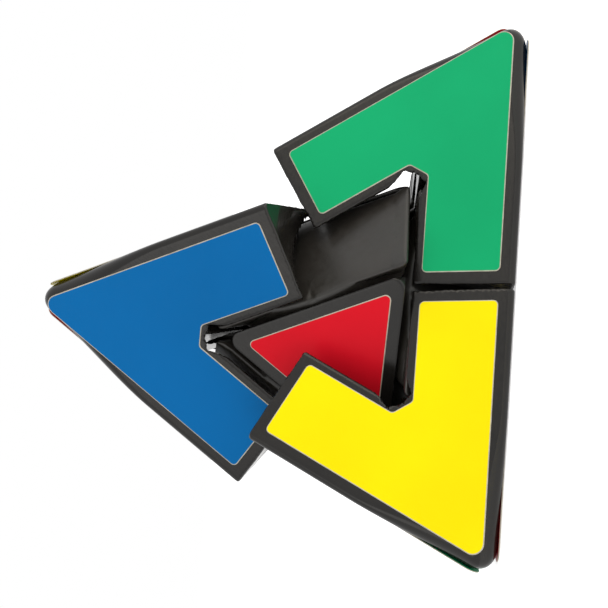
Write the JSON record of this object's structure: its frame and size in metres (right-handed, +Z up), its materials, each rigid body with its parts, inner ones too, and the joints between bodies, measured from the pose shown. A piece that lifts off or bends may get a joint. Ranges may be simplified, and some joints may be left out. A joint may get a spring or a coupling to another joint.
{
  "type": "pyramid twisty puzzle",
  "caption": "Four-sided pyramid puzzle whose corner layers turn about their own axes to mix and match the coloured stickers on its faces; one layer is part-way through a turn.",
  "frame": {"origin": "the middle of the puzzle, where its four turning axes meet", "axes": "+Z up, out of the top corner along the axis that its layer turns about; -Y towards the front face, level; +X to the right; the base face lies level under the middle"},
  "size_m": [0.096, 0.0847, 0.0783],
  "materials": {
    "shell_plastic": "glossy black moulded plastic",
    "inner_plastic": "satin black moulded plastic",
    "steel": "zinc-plated steel",
    "sticker_blue": "blue vinyl sticker, satin",
    "sticker_green": "green vinyl sticker, satin",
    "sticker_yellow": "yellow vinyl sticker, satin",
    "sticker_red": "red vinyl sticker, satin"
  },
  "bodies": {
    "puzzle_body": {"core": "inner_plastic", "screw_top": "steel", "screw_right": "steel", "screw_left": "steel", "screw_back": "steel", "spring_top": "steel", "spring_right": "steel", "spring_left": "steel", "spring_back": "steel", "washer_top": "steel", "washer_right": "steel", "washer_left": "steel", "washer_back": "steel", "corner_shell_right": "shell_plastic", "corner_shell_left": "shell_plastic", "corner_shell_back": "shell_plastic", "corner_hub_right": "inner_plastic", "corner_hub_left": "inner_plastic", "corner_hub_back": "inner_plastic", "sticker_right_front": "sticker_green", "sticker_right_right": "sticker_red", "sticker_right_base": "sticker_blue", "sticker_left_front": "sticker_yellow", "sticker_left_left": "sticker_green", "sticker_left_base": "sticker_red", "sticker_back_left": "sticker_green", "sticker_back_right": "sticker_yellow", "sticker_back_base": "sticker_blue", "centre_cap_base": "shell_plastic", "centre_foot_base": "inner_plastic", "centre_sticker_base": "sticker_yellow", "inner_edge_right_left": "inner_plastic", "inner_edge_right_back": "inner_plastic", "inner_edge_left_back": "inner_plastic"},
    "top_layer": {"corner_shell_top": "shell_plastic", "corner_hub_top": "inner_plastic", "sticker_top_front": "sticker_blue", "sticker_top_left": "sticker_red", "sticker_top_right": "sticker_yellow", "centre_cap_front": "shell_plastic", "centre_cap_left": "shell_plastic", "centre_cap_right": "shell_plastic", "centre_foot_front": "inner_plastic", "centre_foot_left": "inner_plastic", "centre_foot_right": "inner_plastic", "centre_sticker_front": "sticker_red", "centre_sticker_left": "sticker_blue", "centre_sticker_right": "sticker_green", "inner_edge_top_right": "inner_plastic", "inner_edge_top_left": "inner_plastic", "inner_edge_top_back": "inner_plastic"}
  },
  "joints": [
    {"name": "top_layer_turn", "type": "hinge", "parent": "puzzle_body", "child": "top_layer", "pos_m": [0, 0, 0], "axis": [0, 0, 1], "continuous": true}
  ]
}
